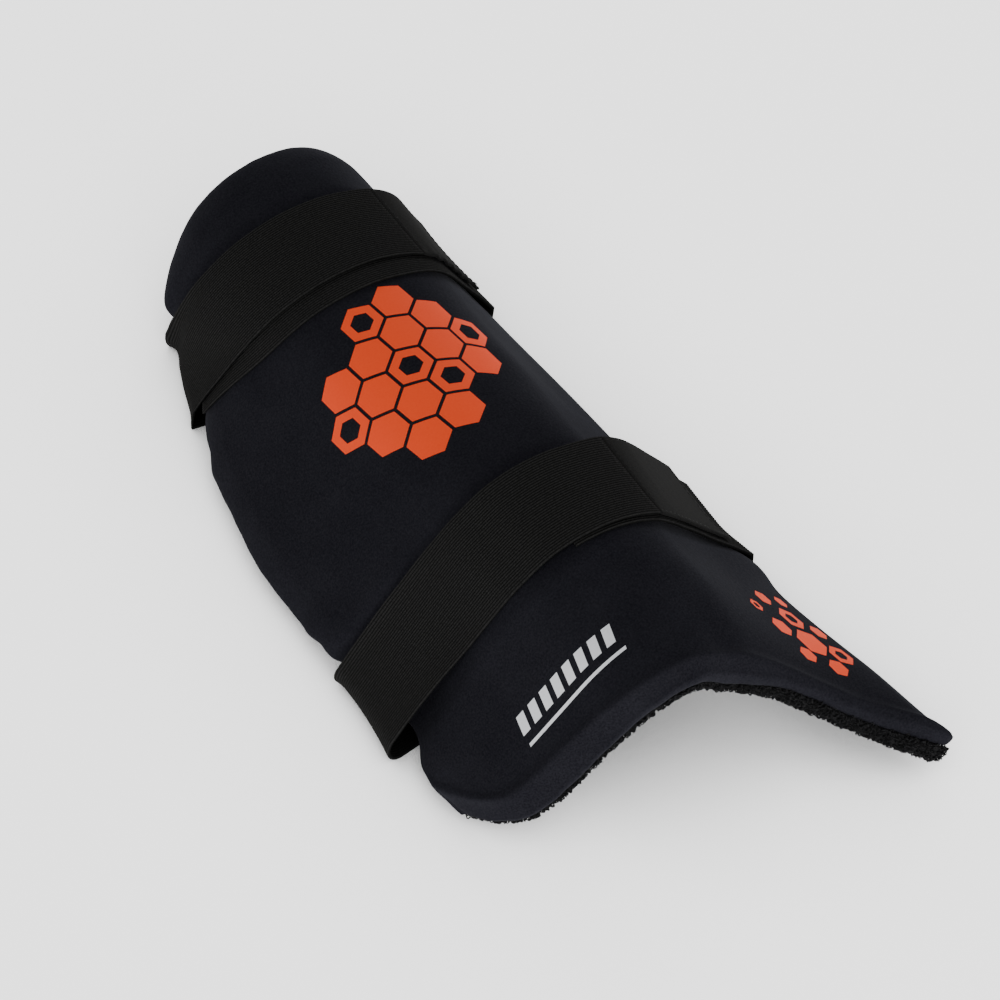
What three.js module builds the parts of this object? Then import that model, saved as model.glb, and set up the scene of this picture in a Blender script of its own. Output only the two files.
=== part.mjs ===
// Batting thigh pad: a moulded foam guard in a stretch cover, arched over the front of the thigh,
// lined with towelling and closed by two elastic straps. It lies on its edges with the hollow down.
import * as THREE from 'three';

// Driving dimensions in millimetres. X runs across the thigh, Y from the open lower edge at the knee
// to the rounded top, Z is up. The crown line starts at y = 0 and s runs from -1 at the left edge
// of the arch, over the crown at 0, to +1 at the right edge.

// Outer section of the arch at three places along the crown: a crown arc with straight flanks
const sectionTable = [
  { y: 0, leftWidth: 115, rightWidth: 111, crownHeight: 94, crownRadius: 54, axisShift: 12 },
  { y: 185, leftWidth: 106.5, rightWidth: 99, crownHeight: 90, crownRadius: 58, axisShift: -1.5 },
  { y: 370, leftWidth: 77, rightWidth: 73, crownHeight: 68, crownRadius: 58, axisShift: 2 },
];
const crownLean = 0.15; // sideways lean of the arch towards the right, for each millimetre of height
const roundest = 0.99; // largest crown radius as a share of the height or half width
const flattestFlank = 0.05; // radians, where the search for the flank's angle starts
const halvings = 40;

// Lower wings: the last stretch of each flank before the knee turns in or out
const wingReach = 100;
const wingFlare = { left: -6, right: 8 };
const wingTip = { lift: 8, from: 0.5 }; // the long right wing curls up off the surface

// Outline: how far each lower corner stands back from the crown's edge, and its rounding
const lowerCorner = {
  left: { setBack: 12, depth: 31, share: 0.32 },
  right: { setBack: -66, depth: 10, share: 0.22 },
};
const shortestEdge = 0.6; // nearest that a strap's turn comes to the crown at the rounded top
const topLine = { length: 372, left: 66, right: 32, roundness: 2.4 };

// Wall: foam in its cover, a rounded bevel all round its outer face, then the towelling
const shellThickness = 14;
const bevel = { width: 15, roundness: 1.4, lowerDepth: 9, sideDepth: 5, topDepth: 5 };
const liningThickness = 5;
const layerGap = 0.3;
const wallThickness = shellThickness + layerGap + liningThickness;

// Straps: two loops of ribbed elastic. `low` is the lower edge on the crown, `leftDrift` and
// `rightDrift` how much higher it lies at the edges. The sewn hook tab runs from `seam` to `tabEnd`,
// over a band that ends at `underEnd`, lies lower by `underDrop` and comes up by `underRise` towards
// the right edge. The strap draws the left flank in by `pinch` over a length of `pinchSpread`, most at
// `pinchShift` from its own middle, and stands clear of the right flank by `standOff`.
const strapWidth = 50;
const elasticThickness = 1.6;
const strapTable = [
  {
    name: 'lower', low: 86, leftDrift: -8, rightDrift: -7, seam: 0.32, tabEnd: 0.85,
    underEnd: -0.06, underDrop: 2, underRise: 0, pinch: 10.5, pinchSpread: 46, pinchShift: -13, standOff: 4.6,
  },
  {
    name: 'upper', low: 276.5, leftDrift: 9, rightDrift: -9, seam: 0.34, tabEnd: 0.85,
    underEnd: -0.8, underDrop: 12, underRise: 9, pinch: 23.5, pinchSpread: 36, pinchShift: 0, standOff: 1.2,
  },
];
const buttGap = 1.2; // where the two ends of a loop meet on the underside
const strapGap = 0.4; // clearance of a strap from the cover
const layerClearance = 0.55; // clearance of one strap layer from the next
const standOff = { from: 0.2, over: 0.35 }; // stretch of the right flank where the straps come clear of it
const underStep = { run: 0.14, ahead: 0.09 }; // share of the arch where a strap climbs onto the band below
const underRiseFrom = 0.1; // where that band starts to come up
const rimLift = { height: 2.6, half: 33, ramp: 14 }; // the edges stand up where a strap passes below

// Mesh densities
const borderSteps = [0, 2.5, 6, 10, 15, 23]; // distances from an edge, close together over the bevel
const bodyRows = 17;
const bodyColumns = 16;
const flankLength = 128; // nominal arch length from crown to edge, to space the columns
const strapSteps = { front: 9, fold: 7, floor: 8, across: 4 }; // front step in millimetres

const clamp01 = (value) => Math.min(1, Math.max(0, value));
const smooth = (value) => clamp01(value) ** 2 * (3 - 2 * clamp01(value));
const sideOf = (s) => (s < 0 ? 'left' : 'right');
const strapMiddle = (strap) => strap.low + strapWidth / 2;

// Quadratic through the three rows of the section table
function alongPad(y, column) {
  return sectionTable.reduce((sum, row) => {
    const others = sectionTable.filter((other) => other !== row);
    const weight = others.reduce((w, other) => (w * (y - other.y)) / (row.y - other.y), 1);
    return sum + weight * row[column];
  }, 0);
}

// Height of the edge above the surface where a strap passes under it
function edgeLift(y) {
  const lifts = strapTable.map((strap) => {
    const beyond = Math.abs(y - strapMiddle(strap)) - rimLift.half;
    return rimLift.height * (1 - smooth(beyond / rimLift.ramp));
  });
  return Math.max(...lifts);
}

// One half of the section at y: crown arc, then a flank whose angle makes it end at the half width
function halfSection(y, side) {
  const wing = wingFlare[side] * Math.max(0, 1 - y / wingReach) ** 2;
  const pinch = side === 'left' ? strapTable.reduce((sum, strap) => {
    const centre = strapMiddle(strap) + strap.leftDrift + strap.pinchShift;
    const away = (y - centre) / strap.pinchSpread;
    return sum + strap.pinch * Math.exp(-away * away);
  }, 0) : 0;
  const height = alongPad(y, 'crownHeight');
  const halfWidth = alongPad(y, `${side}Width`) + wing - pinch;
  const radius = Math.min(alongPad(y, 'crownRadius'), roundest * Math.min(halfWidth, height));
  let low = flattestFlank;
  let high = Math.PI / 2;
  for (let step = 0; step < halvings; step += 1) {
    const angle = (low + high) / 2;
    const reach = radius * Math.sin(angle) + (height - radius * (1 - Math.cos(angle))) / Math.tan(angle);
    if (reach > halfWidth) low = angle;
    else high = angle;
  }
  const flankAngle = (low + high) / 2;
  const rimHeight = wallThickness * Math.cos(flankAngle) + edgeLift(y);
  const arc = radius * flankAngle;
  const flank = (height - radius * (1 - Math.cos(flankAngle)) - rimHeight) / Math.sin(flankAngle);
  return { height, radius, flankAngle, arc, length: arc + flank };
}

// Rise of the right wing's tip off the surface
function tipLift(s, y) {
  if (s < 0 || y > wingReach) return 0;
  const outward = smooth((s - wingTip.from) / (1 - wingTip.from));
  return wingTip.lift * outward * (1 - y / wingReach) ** 2 / (1 - lowerCorner.right.setBack / wingReach) ** 2;
}

// Moves a point of the upright half section to its side, leaned and shifted off the axis
function settle(s, y, x, z) {
  const sign = s < 0 ? -1 : 1;
  return new THREE.Vector3(sign * x + crownLean * z + alongPad(y, 'axisShift'), y, z + tipLift(s, y));
}

// Point of the arch at s and y, `depth` below its outer face
function archPoint(s, y, depth) {
  const half = halfSection(y, sideOf(s));
  const run = Math.abs(s) * half.length;
  const angle = Math.min(run, half.arc) / half.radius;
  const down = Math.max(run - half.arc, 0);
  const x = (half.radius - depth) * Math.sin(angle) + down * Math.cos(half.flankAngle);
  const drop = half.radius - (half.radius - depth) * Math.cos(angle);
  return settle(s, y, x, half.height - drop - down * Math.sin(half.flankAngle));
}

// Lower and upper ends of the arch at s
function lowerEnd(s) {
  const corner = lowerCorner[sideOf(s)];
  const into = clamp01((Math.abs(s) - (1 - corner.share)) / corner.share);
  return corner.setBack * s * s + corner.depth * (1 - Math.sqrt(1 - into * into));
}

function upperEnd(s) {
  const fall = 1 - (1 - Math.abs(s) ** topLine.roundness) ** (1 / topLine.roundness);
  return topLine.length - topLine[sideOf(s)] * fall;
}

// Place of the arch's edge at y, nearer the crown where the top is rounded
function edgeAt(side, y) {
  const sign = side === 'left' ? -1 : 1;
  const fall = clamp01((topLine.length - y) / topLine[side]);
  const rounded = (1 - (1 - fall) ** topLine.roundness) ** (1 / topLine.roundness);
  return sign * Math.max(rounded, shortestEdge);
}

// Depth of the bevel below the panel, from the distances to the three edges
function bevelDrop(s, y) {
  const edges = [
    { distance: y - lowerEnd(s), depth: bevel.lowerDepth },
    { distance: upperEnd(s) - y, depth: bevel.topDepth },
    { distance: (1 - Math.abs(s)) * halfSection(y, sideOf(s)).length, depth: bevel.sideDepth },
  ];
  const drops = edges.map(({ distance, depth }) => {
    const near = clamp01(1 - distance / bevel.width);
    return depth * (1 - (1 - near ** bevel.roundness) ** (1 / bevel.roundness));
  });
  return Math.hypot(...drops);
}

// Closed solid between an outer and an inner grid of points, walled along its four edges
function closedSheet(outer, inner) {
  const rows = outer.length;
  const columns = outer[0].length;
  const points = [...outer.flat(), ...inner.flat()];
  const at = (layer, i, j) => layer * rows * columns + i * columns + j;
  const indices = [];
  const quad = (a, b, c, d) => indices.push(a, b, c, a, c, d);
  for (let i = 0; i < rows - 1; i += 1) {
    for (let j = 0; j < columns - 1; j += 1) {
      quad(at(0, i, j), at(0, i + 1, j), at(0, i + 1, j + 1), at(0, i, j + 1));
      quad(at(1, i, j), at(1, i, j + 1), at(1, i + 1, j + 1), at(1, i + 1, j));
    }
    quad(at(0, i + 1, 0), at(0, i, 0), at(1, i, 0), at(1, i + 1, 0));
    quad(at(0, i, columns - 1), at(0, i + 1, columns - 1), at(1, i + 1, columns - 1), at(1, i, columns - 1));
  }
  for (let j = 0; j < columns - 1; j += 1) {
    quad(at(0, 0, j), at(0, 0, j + 1), at(1, 0, j + 1), at(1, 0, j));
    quad(at(0, rows - 1, j + 1), at(0, rows - 1, j), at(1, rows - 1, j), at(1, rows - 1, j + 1));
  }
  const geometry = new THREE.BufferGeometry();
  geometry.setAttribute('position', new THREE.Float32BufferAttribute(points.flatMap((p) => p.toArray()), 3));
  geometry.setIndex(signedVolume(points, indices) < 0 ? indices.reverse() : indices);
  geometry.computeVertexNormals();
  return geometry;
}

function signedVolume(points, indices) {
  let sum = 0;
  for (let k = 0; k < indices.length; k += 3) {
    const [a, b, c] = [0, 1, 2].map((corner) => points[indices[k + corner]]);
    sum += a.dot(b.clone().cross(c)) / 6;
  }
  return sum;
}

// Places of the grid lines: close together over the bevel, even in between
function archColumns() {
  const edge = borderSteps.map((step) => 1 - step / flankLength);
  const inner = edge[edge.length - 1];
  const middle = Array.from({ length: bodyColumns - 1 }, (_, k) => inner * (1 - (2 * (k + 1)) / bodyColumns));
  return [...edge, ...middle, ...edge.map((s) => -s).reverse()];
}

function archRows(s) {
  const start = lowerEnd(s);
  const end = upperEnd(s);
  const border = borderSteps[borderSteps.length - 1];
  const body = end - start - 2 * border;
  const middle = Array.from({ length: bodyRows - 1 }, (_, k) => start + border + (body * (k + 1)) / bodyRows);
  const lower = borderSteps.map((step) => start + step);
  const upper = borderSteps.map((step) => end - step).reverse();
  return [...lower, ...middle, ...upper];
}

function archSheet(outerDepth, innerDepth) {
  const layer = (depth) => archColumns().map((s) => archRows(s).map((y) => archPoint(s, y, depth(s, y))));
  return closedSheet(layer(outerDepth), layer(innerDepth));
}

function padShell() {
  return archSheet(bevelDrop, () => shellThickness);
}

function terryLining() {
  return archSheet(() => shellThickness + layerGap, () => wallThickness);
}

// Height of a strap's middle surface above the cover at s; the upper layer climbs onto the lower one
function strapHeight(strap, s, layer) {
  const clear = strap.standOff * smooth((s - standOff.from) / standOff.over);
  const climb = layer * smooth((s - strap.underEnd + underStep.ahead) / underStep.run + 1);
  return strapGap + elasticThickness / 2 + clear + climb * (elasticThickness + layerClearance);
}

// Point of a strap that lies on the arch, as its middle and its outward direction
function frontStation(strap, s, y, layer) {
  const height = strapHeight(strap, s, layer);
  const middle = archPoint(s, y, -height);
  const outward = archPoint(s, y, -height - 1).sub(middle);
  return { middle, outward };
}

const foldLayer = { left: 1, right: 0 }; // the long strap folds on the left, the band below on the right

// Round fold from the edge of the arch to the surface below; turn runs from 0 to 1
function foldStation(strap, side, y, turn) {
  const s = edgeAt(side, y);
  const { flankAngle, radius, arc, length, height } = halfSection(y, side);
  const reach = radius + strapHeight(strap, s, foldLayer[side]);
  const down = Math.abs(s) * length - arc;
  const rimX = reach * Math.sin(flankAngle) + down * Math.cos(flankAngle);
  const rimZ = height - radius + reach * Math.cos(flankAngle) - down * Math.sin(flankAngle);
  const fall = rimZ - elasticThickness / 2;
  const foldRadius = fall / (1 + Math.cos(flankAngle));
  const angle = Math.PI / 2 - flankAngle - turn * (Math.PI - flankAngle);
  const x = rimX + foldRadius * (Math.cos(angle) - Math.sin(flankAngle));
  const z = elasticThickness / 2 + foldRadius * (1 + Math.sin(angle));
  const middle = settle(s, y, x, z).setZ(z);
  const outward = new THREE.Vector3(Math.sign(s) * Math.cos(angle), 0, Math.sin(angle));
  return { middle, outward };
}

const downward = new THREE.Vector3(0, 0, -1);

// Straight run across the surface under the pad, from the left fold to the right one
function floorStation(strap, y, share) {
  const left = foldStation(strap, 'left', y, 1).middle;
  const right = foldStation(strap, 'right', y, 1).middle;
  return { middle: left.lerp(right, share), outward: downward };
}

const steps = (count) => Array.from({ length: count + 1 }, (_, k) => k / count);

// Even stations along the arch from one s to another
function frontRun(from, to) {
  const count = Math.max(2, Math.round((Math.abs(to - from) * flankLength) / strapSteps.front));
  return steps(count).map((share) => from + (to - from) * share);
}

// Height of a strap's lower edge above its place on the crown, at -1 and 1 the drift to either edge
function driftAt(strap, along) {
  const slope = (strap.rightDrift - strap.leftDrift) / 2;
  const bend = (strap.rightDrift + strap.leftDrift) / 2;
  return slope * along + bend * along * along;
}

// Sweeps stations, each a function of y with its own drift, into a closed band of the strap's width
function band(strap, stations, shift) {
  const across = steps(strapSteps.across).map((share) => share * strapWidth);
  const layer = (side) => stations.map(({ place, along }) => across.map((v) => {
    const y = strap.low + driftAt(strap, along) + shift(along) + v;
    const { middle, outward } = place(y);
    return middle.clone().addScaledVector(outward, (side * elasticThickness) / 2);
  }));
  return closedSheet(layer(1), layer(-1));
}

const noShift = () => 0;

function underShift(strap) {
  const settled = 1 - Math.abs(strap.underEnd) / 2;
  return (along) => {
    const drop = strap.underDrop * smooth((along - strap.underEnd) / settled);
    return strap.underRise * smooth((along - underRiseFrom) / (1 - underRiseFrom)) - drop;
  };
}

// Stations on the arch from a fixed place to the edge of one side, which moves with y
function runToEdge(strap, from, side, layer) {
  const sign = side === 'left' ? -1 : 1;
  return frontRun(from, sign).map((s) => {
    const share = (s - from) / (sign - from);
    return { along: s, place: (y) => frontStation(strap, from + (edgeAt(side, y) - from) * share, y, layer) };
  });
}

function foldUnder(strap, side) {
  const along = side === 'left' ? -1 : 1;
  return steps(strapSteps.fold).slice(1).map((turn) => ({
    along,
    place: (y) => foldStation(strap, side, y, turn),
  }));
}

// Long elastic: from its seam with the tab over the crown, round the left edge and across underneath
function longStrap(strap) {
  const butt = buttGap / flankLength;
  const floor = steps(strapSteps.floor).slice(1).map((share) => ({
    along: 2 * share - 1,
    place: (y) => floorStation(strap, y, share * (1 - butt)),
  }));
  const front = runToEdge(strap, strap.seam, 'left', 1);
  return band(strap, [...front, ...foldUnder(strap, 'left'), ...floor], noShift);
}

// Hook tab sewn to the end of the elastic, lying on the band below it
function hookTab(strap) {
  const start = strap.seam + strapGap / flankLength;
  const front = frontRun(start, strap.tabEnd).map((s) => ({
    along: s,
    place: (y) => frontStation(strap, s, y, 1),
  }));
  return band(strap, front, noShift);
}

// Band below the closed end: over the crown, down the right flank and round the right edge
function underBand(strap) {
  const stations = [...runToEdge(strap, strap.underEnd, 'right', 0), ...foldUnder(strap, 'right')];
  return band(strap, stations, underShift(strap));
}

const coverFinish = { color: 0x12131a, roughness: 0.75, metalness: 0 };
const towelFinish = { color: 0x0d0d0e, roughness: 1, metalness: 0 };
const elasticFinish = { color: 0x0c0b09, roughness: 0.85, metalness: 0 };
const tabFinish = { color: 0x0f0e0d, roughness: 0.7, metalness: 0 };

function piece(name, geometry, finish) {
  const mesh = new THREE.Mesh(geometry, new THREE.MeshStandardMaterial(finish));
  mesh.name = name;
  return mesh;
}

const layers = new THREE.Group();
layers.add(piece('pad_shell', padShell(), coverFinish));
layers.add(piece('terry_lining', terryLining(), towelFinish));
for (const strap of strapTable) {
  layers.add(piece(`${strap.name}_strap`, longStrap(strap), elasticFinish));
  layers.add(piece(`${strap.name}_underband`, underBand(strap), elasticFinish));
  layers.add(piece(`${strap.name}_tab`, hookTab(strap), tabFinish));
}

// Origin at the middle of the footprint, on the surface that the pad lies on
const box = new THREE.Box3().setFromObject(layers);
const centre = box.getCenter(new THREE.Vector3());
layers.position.set(-centre.x, -centre.y, -box.min.z);
const thighPad = new THREE.Group();
thighPad.add(layers);

export default thighPad;
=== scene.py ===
import math

import bpy
import bmesh
import numpy as np
from mathutils import Matrix, Vector


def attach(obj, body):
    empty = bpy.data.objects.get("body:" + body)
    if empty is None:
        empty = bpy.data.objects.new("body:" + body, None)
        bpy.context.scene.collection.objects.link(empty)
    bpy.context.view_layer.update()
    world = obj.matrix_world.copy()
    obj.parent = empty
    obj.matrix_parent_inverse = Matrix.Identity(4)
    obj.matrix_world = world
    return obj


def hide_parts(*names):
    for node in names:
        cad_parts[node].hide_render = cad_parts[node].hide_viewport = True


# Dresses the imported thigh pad: cover, towelling, elastics, hook tabs, stitches and prints
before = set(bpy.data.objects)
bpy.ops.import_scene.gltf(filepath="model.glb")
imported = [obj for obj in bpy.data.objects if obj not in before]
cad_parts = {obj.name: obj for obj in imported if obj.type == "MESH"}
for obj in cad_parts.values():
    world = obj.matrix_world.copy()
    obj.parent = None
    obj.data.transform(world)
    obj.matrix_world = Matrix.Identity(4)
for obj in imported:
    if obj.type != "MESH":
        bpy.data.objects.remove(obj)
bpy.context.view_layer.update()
mm = 0.001
uvSize = 100  # millimetres to one uv unit
fullTurn = 6.28  # radians

# the arch in millimetres: y from the knee end to the rounded top, s from -1 (left edge) to 1 (right)
padForm = {
    "stations": (0, 185, 370),  # where the section is given
    "leftWidth": (115, 106.5, 77),
    "rightWidth": (111, 99, 73),
    "crownHeight": (94, 90, 68),
    "crownRadius": (54, 58, 58),
    "axisShift": (12, -1.5, 2),
    "crownLean": 0.15, "roundest": 0.99, "leastAngle": 0.05, "halvings": 40,
    "wingReach": 100, "flareLeft": -9, "flareRight": 8,
    "tipLift": 8, "tipFrom": 0.5,
    "setBack": (12, -66), "cornerDepth": (31, 10), "cornerShare": (0.32, 0.22),  # left, right
    "topLength": 372, "topFall": (66, 29.5), "topRoundness": 2.6, "shortestEdge": 0.6,
    "shell": 14, "wall": 19.3, "lining": 14.3,  # depths below the outer face
    "bevelWidth": 15, "bevelRoundness": 1.4, "sideBevel": 5, "topBevel": 5,
    "kneeBevelAt": (-0.5, 0.05, 0.5), "kneeBevelWidth": (9.5, 6, 4),
    "kneeSlope": 0.95, "kneeRoundness": 1.12, "steepest": 2,
    "flank": 128,  # arch length from crown to edge, nominal
    "frameShift": (-16.734, -157.217),  # from the crown's lower end to the frame
    "kneeTrims": ((-0.45, 0.2, 1.5), (-0.86, 0.1, -2.3)),  # place on the knee edge, spread, move up
    "leftTrims": ((350, 9, 2.5), (330, 9, 2.4), (294, 12, 4.5), (200, 22, -2.4), (160, 14, 2)),
    "rightTrims": ((300, 22, 2.5),),  # both: place along the edge, spread, move in
    "edgeMoves": ((-1, 86, 13, 4.5), (1, 70, 13, 4)),  # side, place, spread, move to the right
    "moveFrom": 0.5, "moveOver": 0.45,
    "thinning": (0.2, 0.36), "sag": 9.5, "sagAt": 0.17, "sagSpread": 0.17, "sagReach": 66,  # knee edge
    "wingSag": 7, "wingFrom": 0.35, "tipKeep": 0.7, "keepFrom": 0.68, "keepOver": 0.25,
    "wrap": 5, "wrapReach": 26, "wrapFrom": 0.2, "wrapOver": 0.3,  # towelling round the right knee edge
    "swell": 4.8, "swellFrom": (-60, 0), "swellTo": (74, 100),  # right flank stands wider
}
straps = {
    "lower": {"low": 84, "leftDrift": -6, "rightDrift": -5, "seam": 0.32, "tabEnd": 0.85,
              "underEnd": -0.06, "underStart": 1.8, "underDrop": 3, "underRise": 0,
              "pinch": 10.5, "pinchAt": 115, "pinchSpread": (78, 17.5), "standOff": 4.6, "standFrom": 0.12,
              "hump": 0.6, "humpAt": 0.55, "edgeLift": 4,
              "foldReach": ((8, 9, 10), (2, 3, 4))},  # left and right fold: knee side, middle, top side
    "upper": {"low": 276.5, "leftDrift": 12, "rightDrift": -9, "seam": 0.34, "tabEnd": 0.85,
              "underEnd": -0.94, "underStart": 6, "underDrop": 12, "underRise": 9,
              "pinch": 26.5, "pinchAt": 326, "pinchSpread": (40, 18), "standOff": 1.4, "standFrom": 0.2,
              "hump": 1, "humpAt": 0.42, "foldReach": ((0.5, 1, 3.5), (0.5, 1, 1)), "edgeLift": 0},
}
strapForm = {
    "width": 50, "thick": 1.6, "gap": 0.4, "layerGap": 0.55, "butt": 1.2,
    "underRiseFrom": 0.1, "standOver": 0.35, "stepRun": 0.14, "stepAhead": 0.09,
    "liftHeight": 2.6, "liftHalf": 33, "liftRamp": 14, "humpSpread": 0.22, "humpTilt": (0.4, 1.05),
    "edgeWidth": 0.68, "edgeFrom": 0.48, "edgeOver": 0.4,  # knee selvedge standing off at the left fold
    "leastFold": 0.3, "floorLength": 150, "pinchPower": (2, 4),
}
flank = padForm["flank"]
waveForm = {"count": 7, "stretch": (0.7, 1.6), "level": 3.2}


def ease(value):
    value = np.clip(value, 0, 1)
    return value * value * (3 - 2 * value)


def bell(value, at, spread):
    return np.exp(-((value - at) / spread) ** 2)


def alongPad(y, name):
    stations, values = padForm["stations"], padForm[name]
    total = 0
    for i in range(3):
        weight = 1
        for j in range(3):
            if j != i:
                weight = weight * (y - stations[j]) / (stations[i] - stations[j])
        total = total + weight * values[i]
    return total


def edgeLift(y):
    lift = 0
    for strap in straps.values():
        beyond = np.abs(y - strap["low"] - strapForm["width"] / 2) - strapForm["liftHalf"]
        lift = np.maximum(lift, strapForm["liftHeight"] * (1 - ease(beyond / strapForm["liftRamp"])))
    return lift


def halfSection(y, left):
    wing = np.where(left, padForm["flareLeft"], padForm["flareRight"])
    wing = wing * np.maximum(0, 1 - y / padForm["wingReach"]) ** 2
    pinch = 0
    for strap in straps.values():
        below = y < strap["pinchAt"]
        away = np.abs(y - strap["pinchAt"]) / np.where(below, *strap["pinchSpread"])
        pinch = pinch + strap["pinch"] * np.exp(-away ** np.where(below, *strapForm["pinchPower"]))
    leftTrim, rightTrim = [sum(move * bell(y, at, spread) for at, spread, move in padForm[key])
                           for key in ("leftTrims", "rightTrims")]
    height = alongPad(y, "crownHeight")
    start, end = padForm["swellFrom"], padForm["swellTo"]
    rising = ease((y - start[0]) / (start[1] - start[0]))
    falling = ease((y - end[0]) / (end[1] - end[0]))
    leftWidth = alongPad(y, "leftWidth") - pinch - leftTrim
    rightWidth = alongPad(y, "rightWidth") + padForm["swell"] * rising * (1 - falling) - rightTrim
    width = np.where(left, leftWidth, rightWidth) + wing
    radius = np.minimum(alongPad(y, "crownRadius"), padForm["roundest"] * np.minimum(width, height))
    low, high = np.full(np.shape(width), padForm["leastAngle"]), np.full(np.shape(width), np.pi / 2)
    for halving in range(padForm["halvings"]):  # the flank's angle that ends at the half width
        angle = (low + high) / 2
        wide = radius * np.sin(angle) + (height - radius * (1 - np.cos(angle))) / np.tan(angle) > width
        low, high = np.where(wide, angle, low), np.where(wide, high, angle)
    rim = padForm["wall"] * np.cos(angle) + edgeLift(y)
    arc = radius * angle
    length = arc + (height - radius * (1 - np.cos(angle)) - rim) / np.sin(angle)
    return height, radius, angle, arc, length


def tipLift(s, y):
    outward = ease((s - padForm["tipFrom"]) / (1 - padForm["tipFrom"]))
    curl = np.maximum(0, 1 - y / padForm["wingReach"]) ** 2
    return padForm["tipLift"] * outward * curl / (1 - padForm["setBack"][1] / padForm["wingReach"]) ** 2


def settle(s, y, x, z, lift):
    side = np.where(s < 0, -1, 1)
    across = side * x + padForm["crownLean"] * z + alongPad(y, "axisShift") + padForm["frameShift"][0]
    return np.stack([across, y + padForm["frameShift"][1] + 0 * across, z + lift], -1)


def archPoint(s, y, depth):
    s, y, depth = np.broadcast_arrays(np.asarray(s, float), np.asarray(y, float), np.asarray(depth, float))
    droop = bell(s, padForm["sagAt"], padForm["sagSpread"])
    nearKnee = np.clip(1 - (y - lowerEnd(s)) / padForm["sagReach"], 0, 1) ** 2
    kept = padForm["tipKeep"] * ease((s - padForm["keepFrom"]) / padForm["keepOver"])
    onWing = np.where(s > padForm["sagAt"], 1 - kept, 0)
    thin = padForm["thinning"][1] * onWing - padForm["thinning"][0]
    thin = padForm["thinning"][0] + thin * ease((s - padForm["sagAt"]) / padForm["wingFrom"])
    sag = padForm["sag"] * droop + padForm["wingSag"] * onWing * (1 - droop)
    depth = depth * (1 - thin * nearKnee) + sag * nearKnee
    height, radius, flankAngle, arc, length = halfSection(y, s < 0)
    run = np.abs(s) * length
    angle = np.minimum(run, arc) / radius
    down = np.maximum(run - arc, 0)
    x = (radius - depth) * np.sin(angle) + down * np.cos(flankAngle)
    z = height - radius + (radius - depth) * np.cos(angle) - down * np.sin(flankAngle)
    return settle(s, y, x, z, tipLift(s, y))


def bySide(s, name):
    return np.where(s < 0, padForm[name][0], padForm[name][1])


def lowerEnd(s):
    share = bySide(s, "cornerShare")
    into = np.clip((np.abs(s) - 1 + share) / share, 0, 1)
    trim = sum(move * bell(s, at, spread) for at, spread, move in padForm["kneeTrims"])
    return bySide(s, "setBack") * s * s + bySide(s, "cornerDepth") * (1 - np.sqrt(1 - into * into)) + trim


def upperEnd(s):
    power = padForm["topRoundness"]
    fall = 1 - (1 - np.minimum(np.abs(s), 1) ** power) ** (1 / power)
    return padForm["topLength"] - bySide(s, "topFall") * fall


def edgeAt(side, y):
    power = padForm["topRoundness"]
    fall = np.clip((padForm["topLength"] - y) / bySide(side, "topFall"), 0, 1)
    return side * np.maximum((1 - (1 - fall) ** power) ** (1 / power), padForm["shortestEdge"])


def kneeGap(s, y):  # distance square to the knee edge
    step = 0.004
    ahead, behind = np.clip(s + step, -1, 1), np.clip(s - step, -1, 1)
    slope = (lowerEnd(ahead) - lowerEnd(behind)) / ((ahead - behind) * flank)
    return (y - lowerEnd(s)) / np.sqrt(1 + np.minimum(slope * slope, padForm["steepest"]))


def bevelDrop(s, y):
    length = halfSection(y, s < 0)[4]
    kneeWidth = np.interp(s, padForm["kneeBevelAt"], padForm["kneeBevelWidth"])
    width, power = padForm["bevelWidth"], padForm["bevelRoundness"]
    bevels = ((kneeGap(s, y), kneeWidth, padForm["kneeSlope"] * kneeWidth, padForm["kneeRoundness"]),
              (upperEnd(s) - y, width, padForm["topBevel"], power),
              ((1 - np.abs(s)) * length, width, padForm["sideBevel"], power))
    total = 0
    for distance, width, depth, power in bevels:
        near = np.clip(1 - distance / width, 0, 1)
        total = total + (depth * (1 - (1 - near ** power) ** (1 / power))) ** 2
    return np.sqrt(total)


def edgeMove(s, y):  # sideways moves of the edges below the lower strap
    shift = 0
    for side, at, spread, move in padForm["edgeMoves"]:
        outer = ease((side * s - padForm["moveFrom"]) / padForm["moveOver"])
        shift = shift + move * outer * bell(y, at, spread)
    return np.stack([shift, 0 * shift, 0 * shift], -1)


def wrapUp(s, y):  # the towelling comes up round the right wing's knee edge
    near = np.clip(1 - (y - lowerEnd(s)) / padForm["wrapReach"], 0, 1) ** 2
    return padForm["wrap"] * near * ease((s - padForm["wrapFrom"]) / padForm["wrapOver"])


def ripple(u, v, scale, seed):  # smooth seeded waves, about -1 to 1
    turns = np.random.default_rng(seed)
    total = 0
    for wave in range(waveForm["count"]):
        heading, phase = turns.uniform(0, fullTurn), turns.uniform(0, fullTurn)
        stretch = turns.uniform(*waveForm["stretch"])
        along = u * np.cos(heading) + v * np.sin(heading)
        total = total + np.sin(along * fullTurn * stretch / scale + phase)
    return total / waveForm["level"]


# meshes, materials and node trees
def addObject(name, data):
    made = bpy.data.objects.new(name, data)
    bpy.context.collection.objects.link(made)
    return made


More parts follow.
